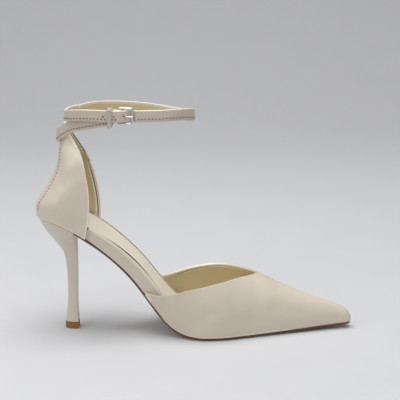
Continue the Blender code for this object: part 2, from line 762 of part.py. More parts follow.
def strap_route():
    """The strap from its sewn end, round the hinge bar and the ankle, to the free tail."""
    bar = hinge()
    radius = fold_radius()
    lower_end = ring_point(LOWER_PIECE[0])
    sewn = Vector((bar.x - FOLD_LENGTH, bar.y + radius, lower_end.z))
    points = [sewn, Vector((bar.x - 0.25 * FOLD_LENGTH, bar.y + radius, bar.z))]
    for k in range(7):
        angle = pi / 2 - pi * k / 6
        points.append(bar + Vector((radius * cos(angle), radius * sin(angle), 0)))
    points.append(Vector((bar.x - 0.2 * FOLD_LENGTH, bar.y - radius, bar.z - 0.0001)))
    points += [ring_point(row) for row in LOWER_PIECE]
    points += crossing_points()
    points += [ring_point(row) for row in FAR_SIDE]
    under_bar = -(BAR_THICKNESS / 2 + GAP + STRAP_THICKNESS / 2)
    points.append(frame_point(FRAME_REACH + BAR_WIDTH, under_bar - 0.0002))
    points.append(frame_point(FRAME_REACH - 0.5 * BAR_WIDTH, under_bar))
    over_fold = radius + STRAP_THICKNESS + GAP
    points.append(Vector((bar.x + 0.0020, bar.y - over_fold + 0.0002, bar.z)))
    points.append(Vector((bar.x - 0.0018, bar.y - over_fold - 0.0001, bar.z)))
    points += [ring_point(row) for row in TAIL]
    return points


def cutter(name, place, size, turn=0.0, sides=None):
    """A hidden block or round cutter, its length along the strap's thickness."""
    mesh = bmesh.new()
    if sides:
        bmesh.ops.create_cone(
            mesh, cap_ends=True, segments=sides, radius1=size.x / 2, radius2=size.x / 2, depth=size.y
        )
        bmesh.ops.rotate(mesh, verts=mesh.verts, matrix=Matrix.Rotation(pi / 2, 3, "X"))
    else:
        bmesh.ops.create_cube(mesh, size=1)
        bmesh.ops.scale(mesh, verts=mesh.verts, vec=size)
    data = bpy.data.meshes.new(name)
    mesh.to_mesh(data)
    mesh.free()
    made = bpy.data.objects.new(name, data)
    bpy.context.scene.collection.objects.link(made)
    made.location = place
    made.rotation_euler = (0, 0, turn)
    made.hide_render = True
    made.display_type = "WIRE"
    return made


def cut(target, tool):
    change = target.modifiers.new(tool.name, "BOOLEAN")
    change.operation = "DIFFERENCE"
    change.object = tool


def build_strap():
    path = smooth_path(strap_route(), 0.0042)
    outline = soft_rectangle(STRAP_THICKNESS, STRAP_WIDTH, 0.18 * STRAP_THICKNESS)
    strap = sweep("ankle_strap", path, outline, STRAP_LEATHER)
    bar = hinge()
    radius = fold_radius()
    reach = radius + STRAP_THICKNESS / 2 + 0.5 * GAP
    hole_size = Vector((0.0040, 0.0042, PRONG_WIRE + 2 * GAP))
    cut(strap, cutter("prong_hole_cutter", frame_point(0.0062, 0.0013), hole_size, -FRAME_TURN))
    over = radius + STRAP_THICKNESS + GAP
    for k in (1, 2):
        x = frame_point(0.0060, 0).x - k * HOLE_SPACING
        place = Vector((x, bar.y - over - 0.0008, bar.z))
        cut(strap, cutter(f"hole_cutter_{k}", place, Vector((HOLE_WIDTH, STRAP_THICKNESS + 0.0014, 0)), sides=8))
    slot_size = Vector((2.2 * reach, 2 * reach, PRONG_WIRE + 4 * GAP))
    cut(strap, cutter("slot_cutter", bar + Vector((0.1 * reach, 0, 0)), slot_size))


def build_buckle_frame():
    """A square loop whose hinge bar carries the folded strap, its far bar turned away from the ankle."""
    half_long = FRAME_REACH / 2
    half_tall = STRAP_WIDTH / 2 + GAP + BAR_WIDTH / 2
    path = []
    for cx, cz, start in ((1, 1, 0), (-1, 1, 90), (-1, -1, 180), (1, -1, 270)):
        for k in range(4):
            angle = radians(start + 30 * k)
            along = half_long + cx * (half_long - FRAME_CORNER) + FRAME_CORNER * cos(angle)
            up = cz * (half_tall - FRAME_CORNER) + FRAME_CORNER * sin(angle)
            path.append(frame_point(along, 0) + Vector((0, 0, up)))
    out = Vector((-sin(FRAME_TURN), -cos(FRAME_TURN), 0))
    outline = soft_rectangle(BAR_WIDTH, BAR_THICKNESS, 0.3 * BAR_THICKNESS)
    sweep("buckle_frame", path, outline, NICKEL, up=out, closed=True)


def build_buckle_prong():
    """A wire hooked round the hinge bar, out through the strap's hole and over the far bar."""
    wire = PRONG_WIRE / 2
    hook = BAR_WIDTH / 2 + GAP + wire
    rest = BAR_THICKNESS / 2 + GAP + wire
    points = [frame_point(hook * cos(radians(a)), hook * sin(radians(a))) for a in (120, 180, 240, 300)]
    points.append(frame_point(hook + 0.0012, -0.3 * hook))
    points.append(frame_point(0.0072, rest + 0.0004))
    points.append(frame_point(0.75 * FRAME_REACH, rest + 0.0006))
    points.append(frame_point(FRAME_REACH, rest))
    points.append(frame_point(FRAME_REACH + 0.6 * BAR_WIDTH, rest - 0.0001))
    outline = [(wire * cos(pi * k / 3), wire * sin(pi * k / 3)) for k in range(6)]
    sweep("buckle_prong", smooth_path(points, 0.0012), outline, NICKEL)


def build_keeper():
    """A flat loop round the tail and the folded end."""
    middle = hinge().x - KEEPER_OFFSET
    path = smooth_path(strap_route(), KEEPER_WIDTH / 4)
    inside = [p for p in path if abs(p.x - middle) < KEEPER_WIDTH / 2 + GAP and p.y < 0]
    near = min(p.y for p in inside) - STRAP_THICKNESS / 2 - GAP
    far = max(p.y for p in inside) + STRAP_THICKNESS / 2 + GAP
    low = min(p.z for p in inside) - STRAP_WIDTH / 2 - 2 * GAP
    high = max(p.z for p in inside) + STRAP_WIDTH / 2 + GAP
    cx = (near + far) / 2
    cz = (low + high) / 2

    def loop(grow, corner):
        half_y = (far - near) / 2 + grow
        half_z = (high - low) / 2 + grow
        found = []
        for sy, sz, start in ((1, 1, 0), (-1, 1, 90), (-1, -1, 180), (1, -1, 270)):
            for k in range(3):
                angle = radians(start + 45 * k)
                y = cx + sy * (half_y - corner) + corner * cos(angle)
                z = cz + sz * (half_z - corner) + corner * sin(angle)
                found.append((y, z))
        return found

    outer = loop(KEEPER_WALL, 0.9 * KEEPER_WALL)
    inner = loop(0.0, 0.1 * KEEPER_WALL)
    count = len(outer)
    points = []
    for x in (middle - KEEPER_WIDTH / 2, middle + KEEPER_WIDTH / 2):
        points += [Vector((x, y, z)) for y, z in outer]
        points += [Vector((x, y, z)) for y, z in inner]
    faces = []
    for i in range(count):
        j = (i + 1) % count
        a, b = 0, 2 * count
        faces.append((a + i, a + j, b + j, b + i))
        faces.append((a + count + i, b + count + i, b + count + j, a + count + j))
        faces.append((a + i, a + count + i, a + count + j, a + j))
        faces.append((b + i, b + j, b + count + j, b + count + i))
    turned_out(add_object("keeper", points, faces, STRAP_LEATHER))


def set_on_origin():
    """Moves every piece so that the origin is at the middle of the bounding box, on the floor."""
    bpy.context.view_layer.update()
    graph = bpy.context.evaluated_depsgraph_get()
    corners = []
    pieces = [o for o in bpy.context.scene.objects if o.type == "MESH"]
    for piece in pieces:
        if not piece.hide_render:
            seen = piece.evaluated_get(graph)
            corners += [seen.matrix_world @ v.co for v in seen.data.vertices]
    low = [min(p[i] for p in corners) for i in range(3)]
    high = [max(p[i] for p in corners) for i in range(3)]
    move = Vector((-(low[0] + high[0]) / 2, -(low[1] + high[1]) / 2, -low[2]))
    for piece in pieces:
        piece.location += move


def main():
    for old in list(bpy.data.objects):
        bpy.data.objects.remove(old, do_unlink=True)
    build_outsole()
    build_heel()
    build_top_piece()
    build_insole_board()
    build_sock()
    build_waist_wrap("waist_wrap_lateral", -1)
    build_waist_wrap("waist_wrap_medial", 1)
    build_vamp()
    build_counter()
    build_strap()
    build_buckle_frame()
    build_buckle_prong()
    build_keeper()
    set_on_origin()


main()
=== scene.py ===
"""Looks of the ankle strap pump: leather, lining, stitches, buckle and studio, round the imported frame."""

import logging
from collections.abc import Callable, Iterator
from contextlib import contextmanager
from dataclasses import dataclass, field
from enum import Enum
from math import cos, exp, pi, radians, sin

import bmesh
import bpy
from mathutils import Matrix, Vector


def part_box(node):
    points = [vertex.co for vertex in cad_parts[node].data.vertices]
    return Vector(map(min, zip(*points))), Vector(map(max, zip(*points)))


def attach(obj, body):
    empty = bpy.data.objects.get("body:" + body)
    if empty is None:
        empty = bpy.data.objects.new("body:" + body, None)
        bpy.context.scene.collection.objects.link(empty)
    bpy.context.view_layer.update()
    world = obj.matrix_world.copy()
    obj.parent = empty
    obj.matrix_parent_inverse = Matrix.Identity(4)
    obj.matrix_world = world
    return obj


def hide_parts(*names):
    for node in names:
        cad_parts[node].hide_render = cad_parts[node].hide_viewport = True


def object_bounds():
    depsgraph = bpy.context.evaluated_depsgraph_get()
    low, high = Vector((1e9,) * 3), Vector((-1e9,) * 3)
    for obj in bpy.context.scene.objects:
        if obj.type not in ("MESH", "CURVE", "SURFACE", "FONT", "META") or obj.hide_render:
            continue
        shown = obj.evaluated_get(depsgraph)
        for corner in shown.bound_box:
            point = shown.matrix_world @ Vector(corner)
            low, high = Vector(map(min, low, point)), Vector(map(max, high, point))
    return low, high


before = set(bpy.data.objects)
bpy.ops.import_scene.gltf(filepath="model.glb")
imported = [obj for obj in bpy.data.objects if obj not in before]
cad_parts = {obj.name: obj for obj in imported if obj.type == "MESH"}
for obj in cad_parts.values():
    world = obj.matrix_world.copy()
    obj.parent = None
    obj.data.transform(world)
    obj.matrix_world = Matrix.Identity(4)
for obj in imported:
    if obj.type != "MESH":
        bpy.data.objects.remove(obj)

CAD_LOW, CAD_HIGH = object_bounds()
MERGE = 0.000002
QUAD_BEND = radians(50)
QUAD_SKEW = radians(70)
SHARP = 50.0
RIM_SHARP = 60.0
ROLL_SEGMENTS = 2
LOOKS_INWARDS = 0.45
SMOOTH_BELOW = radians(40)

log = logging.getLogger("pump")


class Side(Enum):
    """A side of the right shoe, as the sign of its y."""

    LATERAL = -1
    MEDIAL = 1


class Skin(Enum):
    """The slots of a two sided piece: its outside, its lining, the folded edge, partly lighter leather and
    partly painted highlight, and the groove under it, painted dark as shade.
    """

    OUTER = 0
    LINING = 1
    FOLD = 2
    GROOVE = 3


def only(piece: bpy.types.Object) -> None:
    """Selects one piece alone and makes it active.

    Args:
        piece: The object that the next operator acts on.
    """
    bpy.ops.object.select_all(action="DESELECT")
    piece.select_set(True)
    bpy.context.view_layer.objects.active = piece


@contextmanager
def editing(piece: bpy.types.Object) -> Iterator[bmesh.types.BMesh]:
    """Edit mode on one piece, with nothing selected at its start.

    Args:
        piece: The mesh object that is edited.

    Returns:
        The piece's edit mesh, while the block runs.
    """
    only(piece)
    bpy.ops.object.mode_set(mode="EDIT")
    bpy.ops.mesh.select_mode(type="FACE")
    bpy.ops.mesh.select_all(action="DESELECT")
    yield bmesh.from_edit_mesh(piece.data)
    bpy.ops.object.mode_set(mode="OBJECT")


def apply(piece: bpy.types.Object, kind: str, **settings: object) -> None:
    """Adds a modifier, sets it and applies it.

    Args:
        piece: The object that takes the modifier.
        kind: The modifier's type, as Blender names it.
        settings: The modifier's own values by name.
    """
    only(piece)
    added = piece.modifiers.new(kind.lower(), kind)
    for name, value in settings.items():
        setattr(added, name, value)
    bpy.ops.object.modifier_apply(modifier=added.name)


def rounded_off(piece: bpy.types.Object, levels: int) -> None:
    """Smooths a piece by applied subdivision.

    Args:
        piece: The object that is smoothed.
        levels: How often its faces are divided.
    """
    apply(piece, "SUBSURF", levels=levels, render_levels=levels)
    only(piece)
    bpy.ops.object.shade_smooth()


def node_copy(node: str, name: str) -> bpy.types.Object:
    """A merged copy of a CAD node in quads, which stands for the node.

    Args:
        node: The CAD node that is copied.
        name: The new piece's name.

    Returns:
        The copy, its place in its mesh.
    """
    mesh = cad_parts[node].data.copy()
    mesh.materials.clear()
    piece = bpy.data.objects.new(name, mesh)
    bpy.context.scene.collection.objects.link(piece)
    with editing(piece):
        bpy.ops.mesh.select_all(action="SELECT")
        bpy.ops.mesh.remove_doubles(threshold=MERGE)
        bpy.ops.mesh.tris_convert_to_quads(face_threshold=QUAD_BEND, shape_threshold=QUAD_SKEW)
        bpy.ops.mesh.select_all(action="DESELECT")
    only(piece)
    bpy.ops.mesh.customdata_custom_splitnormals_clear()
    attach(piece, "root")
    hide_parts(node)
    return piece


def rolled_edges(piece: bpy.types.Object, width: float, sharp: float) -> None:
    """Rolls the sharp edges of a piece.

    Args:
        piece: The object whose edges are rolled.
        width: Width of the roll on each side of an edge.
        sharp: Angle in degrees from which an edge counts as sharp.
    """
    with editing(piece):
        bpy.ops.mesh.select_mode(type="EDGE")
        bpy.ops.mesh.edges_select_sharp(sharpness=radians(sharp))
        bpy.ops.mesh.bevel(offset=width, segments=ROLL_SEGMENTS, profile=0.5, clamp_overlap=True)


def line_inside(piece: bpy.types.Object, axis: Callable[[Vector], Vector]) -> None:
    """Gives the faces that look at the shoe's inside the lining's slot.

    Args:
        piece: The two sided piece.
        axis: Gives the point of the shoe's hollow that a face's middle looks at or away from.
    """
    for face in piece.data.polygons:
        outwards = (face.center - axis(face.center)).normalized()
        if face.normal.dot(outwards) < -LOOKS_INWARDS:
            face.material_index = Skin.LINING.value


@dataclass(frozen=True)
class Band:
    """One strip of a folded edge: how wide and how deep it is, and its slot."""

    width: float
    depth: float
    skin: Skin


# Bands of the folded edge: the fold and the bead take the fold's painted highlight, the groove band the
# painted shade.
FOLDED_EDGE = (
    Band(0.0018, 0.0, Skin.FOLD),
    Band(0.0005, -0.0005, Skin.GROOVE),
    Band(0.0009, 0.0006, Skin.FOLD),
)
RIM_WIDTH = 0.00195
ROLL_WIDTH = 0.0006


def narrow(face: bmesh.types.BMFace, widest: float) -> bool:
    """Whether a face is a strip no wider than a given width."""
    return face.calc_area() < widest * max(edge.calc_length() for edge in face.edges)


def beside(face: bmesh.types.BMFace, skin: Skin) -> bool:
    """Whether a face shares an edge with a face in a given slot."""
    return any(other.material_index == skin.value for edge in face.edges for other in edge.link_faces)


def light_rolls(piece: bpy.types.Object, passes: int) -> None:
    """Carries the fold's finish, partly lighter leather and partly painted highlight, over the narrow faces
    of the rolled edge beside it.

    Args:
        piece: The two sided piece, its edges rolled.
        passes: How many faces of the roll are taken.
    """
    with editing(piece) as mesh:
        for _ in range(passes):
            outer = [face for face in mesh.faces if face.material_index == Skin.OUTER.value]
            for face in [face for face in outer if narrow(face, ROLL_WIDTH) and beside(face, Skin.FOLD)]:
                face.material_index = Skin.FOLD.value


def lining_line(piece: bpy.types.Object, reach: float) -> None:
    """Folds the leather over the top edge and starts the lining below it with a small groove and bead; the
    fold and bead take the lighter fold slot, partly painted highlight, and the groove the dark slot of
    painted shade.

    Args:
        piece: The two sided piece, its lining faces marked.
        reach: Only faces behind this x take part.
    """
    with editing(piece) as mesh:
        for face in mesh.faces:
            lined = face.material_index == Skin.LINING.value
            taken = face.calc_center_median().x < reach
            if taken and not lined and narrow(face, RIM_WIDTH) and beside(face, Skin.LINING):
                face.material_index = Skin.FOLD.value
            face.select_set(lined and taken)
        bmesh.update_edit_mesh(piece.data)
        # Each band takes its slot: the fold's painted highlight or the groove's painted shade.
        for band in FOLDED_EDGE:
            bpy.ops.mesh.inset(thickness=band.width, depth=band.depth, use_even_offset=False)
            mesh = bmesh.from_edit_mesh(piece.data)
            for face in mesh.faces:
                lined = face.material_index == Skin.LINING.value
                if lined and not face.select and face.calc_center_median().x < reach:
                    face.material_index = band.skin.value
            bmesh.update_edit_mesh(piece.data)


DENT_SIDEWAYS = 0.8
DENT_DOWN = 0.6


@dataclass(frozen=True)
class Dent:
    """A soft trough, or with a negative depth a soft ridge, along a line on the leather."""

    start: tuple[float, float, float]
    end: tuple[float, float, float]
    width: float
    depth: float

    def press(self, piece: bpy.types.Object) -> None:
        """Moves the piece's points under the line inwards, both skins alike.

        Args:
            piece: The piece that is dented.
        """
        a = Vector(self.start)
        run = Vector(self.end) - a
        for vertex in piece.data.vertices:
            along = min(max((vertex.co - a).dot(run) / run.length_squared, 0.0), 1.0)
            away = (vertex.co - a - run * along).length
            if away < 3 * self.width:
                side = -1 if vertex.co.y < 0 else 1
                sink = self.depth * exp(-((away / self.width) ** 2))
                vertex.co -= Vector((0, side * DENT_SIDEWAYS * sink, DENT_DOWN * sink))


def shader_group(name: str, inputs: dict[str, float], outputs: tuple[str, ...]) -> bpy.types.NodeTree:
    """A shader group with a vector, named values in and named values out.

    Args:
        name: The group's name.
        inputs: The value sockets and what they start from.
        outputs: The names of the values put out.

    Returns:
        The new group, its two end nodes made.
    """
    group = bpy.data.node_groups.new(name, "ShaderNodeTree")
    group.interface.new_socket("Vector", in_out="INPUT", socket_type="NodeSocketVector")
    for label, value in inputs.items():
        socket = group.interface.new_socket(label, in_out="INPUT", socket_type="NodeSocketFloat")
        socket.default_value = value
    for label in outputs:
        group.interface.new_socket(label, in_out="OUTPUT", socket_type="NodeSocketFloat")
    group.nodes.new("NodeGroupInput").name = "in"
    group.nodes.new("NodeGroupOutput").name = "out"
    return group


def math_node(tree: bpy.types.NodeTree, kind: str, *values: bpy.types.NodeSocket) -> bpy.types.NodeSocket:
    """Adds one Math node.

    Args:
        tree: The node tree that takes it.
        kind: The operation's name.
        values: A socket for each input.

    Returns:
        The node's output.
    """
    node = tree.nodes.new("ShaderNodeMath")
    node.operation = kind
    for i, value in enumerate(values):
        tree.links.new(value, node.inputs[i])
    return node.outputs[0]


PORE_DETAIL = 4.0
WAVE_DETAIL = 2.0
TONE_DETAIL = 5.0
TONE_SCALE = 26.0


def grain_group() -> bpy.types.NodeTree:
    """The leather's fine cells, its soft waves and its cloudy tone, as one shared group.

    Returns:
        The group, made at its first use.
    """
    found = bpy.data.node_groups.get("leather_grain")
    if found:
        return found
    inputs = {"Cells": 1400.0, "Waves": 45.0, "Wave Share": 4.0}
    group = shader_group("leather_grain", inputs, ("Height", "Tone"))
    ends = group.nodes["in"]
    cells = group.nodes.new("ShaderNodeTexVoronoi")
    cells.feature = "SMOOTH_F1"
    pores = group.nodes.new("ShaderNodeTexNoise")
    pores.inputs["Detail"].default_value = PORE_DETAIL
    waves = group.nodes.new("ShaderNodeTexNoise")
    waves.inputs["Detail"].default_value = WAVE_DETAIL
    tone = group.nodes.new("ShaderNodeTexNoise")
    tone.inputs["Scale"].default_value = TONE_SCALE
    tone.inputs["Detail"].default_value = TONE_DETAIL
    for node in (cells, pores, waves, tone):
        group.links.new(ends.outputs["Vector"], node.inputs["Vector"])
    group.links.new(ends.outputs["Cells"], cells.inputs["Scale"])
    group.links.new(ends.outputs["Cells"], pores.inputs["Scale"])
    group.links.new(ends.outputs["Waves"], waves.inputs["Scale"])
    fine = math_node(group, "ADD", cells.outputs["Distance"], pores.outputs["Fac"])
    broad = math_node(group, "MULTIPLY", waves.outputs["Fac"], ends.outputs["Wave Share"])
    group.links.new(math_node(group, "ADD", fine, broad), group.nodes["out"].inputs["Height"])
    group.links.new(tone.outputs["Fac"], group.nodes["out"].inputs["Tone"])
    return group


ROUGHNESS_SPREAD = 0.12
SHADE_UP_TO = 0.34
COLOUR_FROM = 0.66


@dataclass(frozen=True)
class Finish:
    """A finish with two tones, a grain and a gloss."""

    name: str
    colour: tuple[float, float, float]
    shade: tuple[float, float, float]
    roughness: float = 0.40
    coat: float = 0.20
    coat_roughness: float = 0.30
    cells: float = 1400.0
    waves: float = 45.0
    wave_share: float = 4.0
    depth: float = 0.00003
    metallic: float = 0.0

    def material(self) -> bpy.types.Material:
        """Builds the finish's shader.

        Returns:
            The new material.
        """
        made = bpy.data.materials.new(self.name)
        made.use_nodes = True
        tree = made.node_tree
        shader = tree.nodes["Principled BSDF"]
        place = tree.nodes.new("ShaderNodeTexCoord")
        grain = tree.nodes.new("ShaderNodeGroup")
        grain.node_tree = grain_group()
        grain.inputs["Cells"].default_value = self.cells
        grain.inputs["Waves"].default_value = self.waves
        grain.inputs["Wave Share"].default_value = self.wave_share
        tree.links.new(place.outputs["Object"], grain.inputs["Vector"])
        tones = tree.nodes.new("ShaderNodeValToRGB")
        tones.color_ramp.elements[0].position = SHADE_UP_TO
        tones.color_ramp.elements[0].color = (*self.shade, 1)
        tones.color_ramp.elements[1].position = COLOUR_FROM
        tones.color_ramp.elements[1].color = (*self.colour, 1)
        tree.links.new(grain.outputs["Tone"], tones.inputs["Fac"])
        tree.links.new(tones.outputs["Color"], shader.inputs["Base Color"])
        rough = tree.nodes.new("ShaderNodeMapRange")
        rough.inputs["To Min"].default_value = self.roughness * (1 - ROUGHNESS_SPREAD)
        rough.inputs["To Max"].default_value = self.roughness * (1 + ROUGHNESS_SPREAD)
        tree.links.new(grain.outputs["Tone"], rough.inputs["Value"])
        tree.links.new(rough.outputs["Result"], shader.inputs["Roughness"])
        bump = tree.nodes.new("ShaderNodeBump")
        bump.inputs["Strength"].default_value = 1.0
        bump.inputs["Distance"].default_value = self.depth
        tree.links.new(grain.outputs["Height"], bump.inputs["Height"])
        tree.links.new(bump.outputs["Normal"], shader.inputs["Normal"])
        shader.inputs["Metallic"].default_value = self.metallic
        shader.inputs["Coat Weight"].default_value = self.coat
        shader.inputs["Coat Roughness"].default_value = self.coat_roughness
        return made


UPPER_LEATHER = Finish("upper_leather", (0.655, 0.585, 0.480), (0.620, 0.550, 0.450), 0.38, 0.20, 0.28)
STRAP_LEATHER = Finish("strap_leather", (0.600, 0.520, 0.430), (0.550, 0.475, 0.390), 0.38, 0.25, waves=90.0)
SOCK_LEATHER = Finish("sock_leather", (0.830, 0.765, 0.625), (0.800, 0.735, 0.600), 0.50, 0.05)
LINING = Finish("lining", (0.630, 0.520, 0.300), (0.590, 0.480, 0.270), 0.62, 0.0, cells=2200.0)
# Partly the lighter stretched leather of a fold, partly a painted highlight where edges catch the light from
# above.
FOLDED_AND_HIGHLIGHT = Finish("folded_edge_and_painted_highlight", (0.800, 0.730, 0.600), (0.770, 0.700, 0.575), 0.40, 0.15)
# Painted shade: a dark slot that stands for the shade in grooves and along the sock's sides.
GROOVE = Finish("groove_shade", (0.100, 0.080, 0.050), (0.085, 0.068, 0.042), 0.80, 0.0)
KEEPER_LEATHER = Finish("keeper_leather", (0.520, 0.465, 0.410), (0.480, 0.430, 0.380), 0.28, 0.50, 0.12)
SOLE_EDGE = Finish("sole_edge", (0.190, 0.088, 0.045), (0.120, 0.055, 0.030), 0.50, 0.10)
SOLE_FACE = Finish("sole_face", (0.520, 0.400, 0.260), (0.470, 0.355, 0.225), 0.55, 0.05, cells=700.0)
# Painted shade: the board is near black so that it reads as the shade in the gap at the sock's rim.
BOARD_SHADE = Finish("board", (0.120, 0.070, 0.045), (0.080, 0.048, 0.030), 0.85, 0.0)
WEARING = Finish("wearing_piece", (0.300, 0.120, 0.030), (0.230, 0.088, 0.022), 0.48, 0.1, cells=900.0)
NICKEL = Finish(
    "nickel", (0.740, 0.720, 0.700), (0.700, 0.680, 0.660), 0.15, 0.0, depth=0.000001, metallic=1.0
)
THREAD = Finish("thread", (0.600, 0.530, 0.435), (0.560, 0.490, 0.400), 0.60, 0.0, cells=5000.0)
# Painted shade: the dark of a needle hole and the dimple round it.
NEEDLE_HOLE_SHADE = Finish("needle_hole_shade", (0.060, 0.046, 0.032), (0.045, 0.034, 0.024), 0.90, 0.0)
PAPER = Finish("studio_paper", (0.600, 0.603, 0.618), (0.590, 0.593, 0.608), 0.60, 0.0, depth=0.0)


def paint(piece: bpy.types.Object, *finishes: Finish) -> None:
    """Gives a piece its finishes as slots, in order.

    Args:
        piece: The piece that takes them.
        finishes: One finish for each slot.
    """
    for finish in finishes:
        found = bpy.data.materials.get(finish.name)
        piece.data.materials.append(found or finish.material())


def simple(node: str, name: str, finish: Finish, roll: float, levels: int = 2) -> None:
    """A node's copy with rolled edges and one finish.

    Args:
        node: The CAD node.
        name: The piece's name.
        finish: Its finish.
        roll: Width of the rolled edges, or 0 for none.
        levels: Subdivision levels.
    """
    piece = node_copy(node, name)
    paint(piece, finish)
    if roll:
        rolled_edges(piece, roll, SHARP)
    rounded_off(piece, levels)
    log.info("%s: %d faces", name, len(piece.data.polygons))


@dataclass(frozen=True)
class Stitch:
    """One stitch: a short thread lying proud of the leather, and a dark bead of painted shade where it goes
    into its hole.
    """

    pitch: float = 0.0026
    length: float = 0.0017
    thickness: float = 0.00048
    hole: float = 0.00105
    hole_width: float = 0.85
    hole_depth: float = 0.60
    proud: float = 0.00004

    def shape(self, name: str, size: Vector, slot: int) -> bpy.types.Mesh:
        """A small rounded bead in one slot, modelled once for a row's copies.

        Args:
            name: The mesh's name.
            size: Its length, width and height.
            slot: The slot of its faces.

        Returns:
            The mesh of the bead.
        """
        bpy.ops.object.select_all(action="DESELECT")
        bpy.ops.mesh.primitive_uv_sphere_add(segments=8, ring_count=6, radius=0.5)
        bead = bpy.context.object
        bead.scale = size
        bpy.ops.object.transform_apply(location=False, rotation=False, scale=True)
        bpy.ops.object.shade_smooth()
        mesh = bead.data
        mesh.name = name
        for face in mesh.polygons:
            face.material_index = slot
        bpy.data.objects.remove(bead)
        return mesh

    def row(self, name: str, line: list[tuple[Vector, Vector]]) -> None:
        """Sews a row of stitches along a line on the leather, as one piece.

        Args:
            name: The piece's name.
            line: Points on the leather with its outward normals, close together.
        """
        thread = self.shape("thread_bead", Vector((self.length, self.thickness, self.thickness)), 0)
        # The hole is a dark bead laid on the leather: painted shade, not a cut.
        pit = Vector((self.hole, self.hole_width * self.hole, self.hole_depth * self.hole))
        hole = self.shape("hole_shade_bead", pit, 1)
        joined = bmesh.new()
        travelled = 0.0
        due = 0.5 * self.pitch
        for (a, normal), (b, _) in zip(line, line[1:]):
            step = (b - a).length
            while travelled + step >= due:
                at = a + (b - a) * ((due - travelled) / step)
                along = (b - a).normalized()
                side = normal.cross(along).normalized()
                up = along.cross(side)
                turn = Matrix((along, side, up)).transposed().to_4x4()
                for bead, shift in ((thread, 0.0), (hole, self.pitch / 2)):
                    start = len(joined.verts)
                    joined.from_mesh(bead)
                    joined.verts.ensure_lookup_table()
                    place = Matrix.Translation(at + along * shift + up * self.proud) @ turn
                    bmesh.ops.transform(joined, matrix=place, verts=joined.verts[start:])
                due += self.pitch
            travelled += step
        mesh = bpy.data.meshes.new(name)
        joined.to_mesh(mesh)
        joined.free()
        mesh.shade_smooth()
        piece = bpy.data.objects.new(name, mesh)
        bpy.context.scene.collection.objects.link(piece)
        paint(piece, THREAD, NEEDLE_HOLE_SHADE)
        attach(piece, "root")
        log.info("%s: %d faces", name, len(mesh.polygons))


VAMP_DENTS = (
    Dent((0.052, -0.004, 0.044), (0.060, -0.018, 0.030), 0.006, -0.0006),
    Dent((-0.004, -0.036, 0.012), (0.012, -0.036, 0.022), 0.005, 0.0009),
    Dent((0.020, -0.036, 0.010), (0.046, -0.031, 0.016), 0.006, 0.0008),
    Dent((0.030, 0.034, 0.012), (0.052, 0.028, 0.020), 0.006, 0.0008),
    Dent((0.062, -0.022, 0.022), (0.084, -0.016, 0.016), 0.005, 0.0006),
)
COUNTER_DENTS = (
    Dent((-0.098, -0.024, 0.118), (-0.086, -0.024, 0.128), 0.005, 0.0006),
    Dent((-0.104, -0.023, 0.102), (-0.090, -0.024, 0.094), 0.006, -0.0005),
    Dent((-0.096, -0.020, 0.136), (-0.088, -0.022, 0.140), 0.004, 0.0007),
    Dent((-0.104, 0.023, 0.112), (-0.090, 0.024, 0.120), 0.006, 0.0006),
)

# Height of each point of the two seam rows, and its distance from the middle.
BACK_PANEL = ((0.1440, 0.0070), (0.1360, 0.0100), (0.1240, 0.0124), (0.1080, 0.0134), (0.0960, 0.0134))


